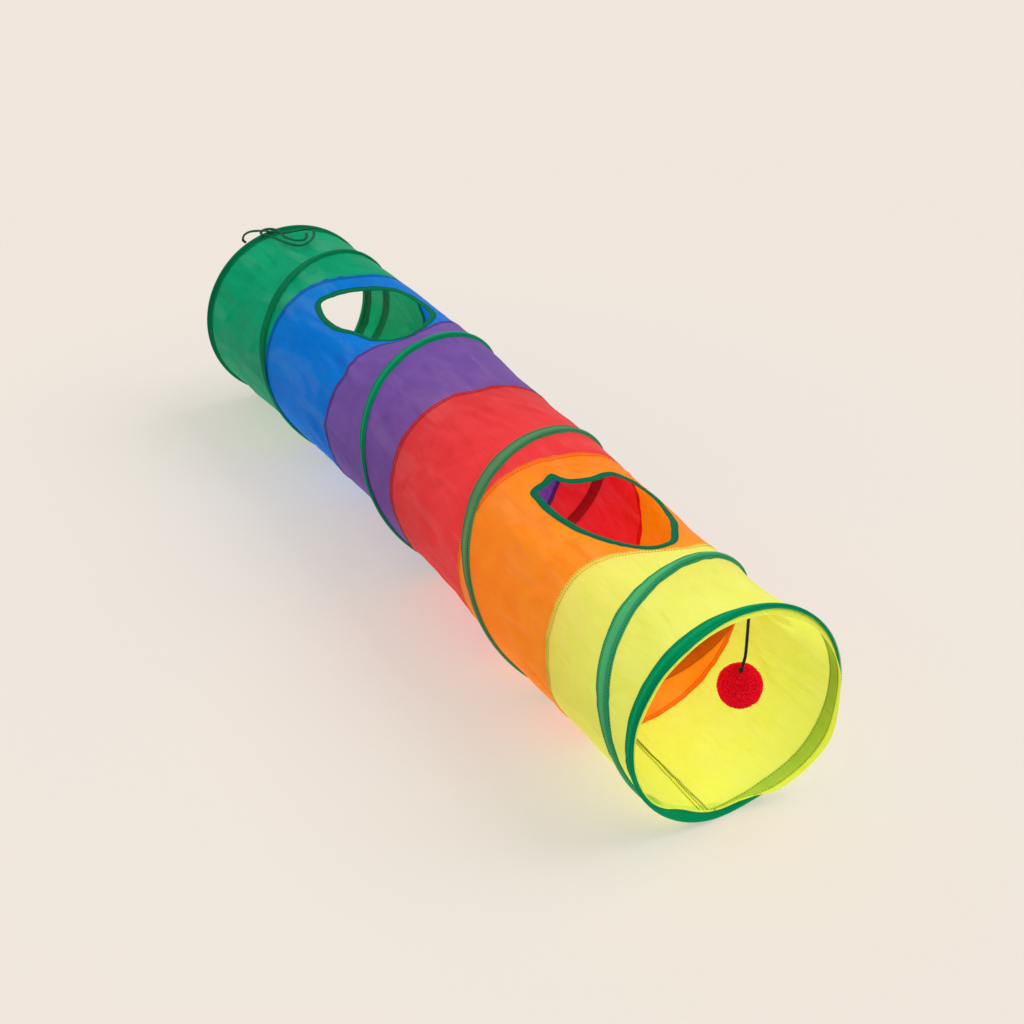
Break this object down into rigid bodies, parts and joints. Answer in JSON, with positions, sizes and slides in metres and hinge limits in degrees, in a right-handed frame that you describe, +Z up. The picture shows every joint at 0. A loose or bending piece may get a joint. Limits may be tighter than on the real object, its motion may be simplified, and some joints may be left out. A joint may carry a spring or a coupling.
{
  "type": "cat tunnel on a spiral spring wire",
  "caption": "Cloth cat tunnel on a spiral spring wire, with coloured panels, bound peepholes in the top, a pom-pom hanging in the front mouth and tie cords at the back mouth.",
  "frame": {"origin": "middle of the base: the middle of the cloth, tapes and wire in X and Y, at the surface that the tunnel lies on", "axes": "+X along the tunnel towards the front mouth with the pom-pom, +Y to the left when looking along +X, +Z up"},
  "size_m": [1.1885, 0.27, 0.2603],
  "materials": {
    "cloth_green": "satin nylon taffeta, thin, lets some light through",
    "cloth_blue": "satin nylon taffeta, thin, lets some light through",
    "cloth_purple": "satin nylon taffeta, thin, lets some light through",
    "cloth_red": "satin nylon taffeta, thin, lets some light through",
    "cloth_orange": "satin nylon taffeta, thin, lets some light through",
    "cloth_yellow": "satin nylon taffeta, thin, lets some light through",
    "tape_green": "thin nylon tape, folded and stitched along both edges",
    "binding_green": "narrow folded binding tape",
    "spring_steel": "drawn spring wire",
    "pom_pom_yarn": "dense cut yarn pile",
    "cord_black": "braided elastic cord",
    "tie_green": "twisted cord"
  },
  "bodies": {
    "root": {"panel_green": "cloth_green", "panel_blue": "cloth_blue", "panel_purple": "cloth_purple", "panel_red": "cloth_red", "panel_orange": "cloth_orange", "panel_yellow": "cloth_yellow", "binding_blue_hole": "binding_green", "binding_orange_hole": "binding_green", "tape_back_mouth": "tape_green", "tape_front_mouth": "tape_green", "tape_turn_1": "tape_green", "tape_turn_2": "tape_green", "tape_turn_3": "tape_green", "tape_turn_4": "tape_green", "spring_wire": "spring_steel", "pom_pom": "pom_pom_yarn", "pom_pom_cord": "cord_black", "tie_cord": "tie_green", "tie_loop": "tie_green"}
  },
  "joints": []
}
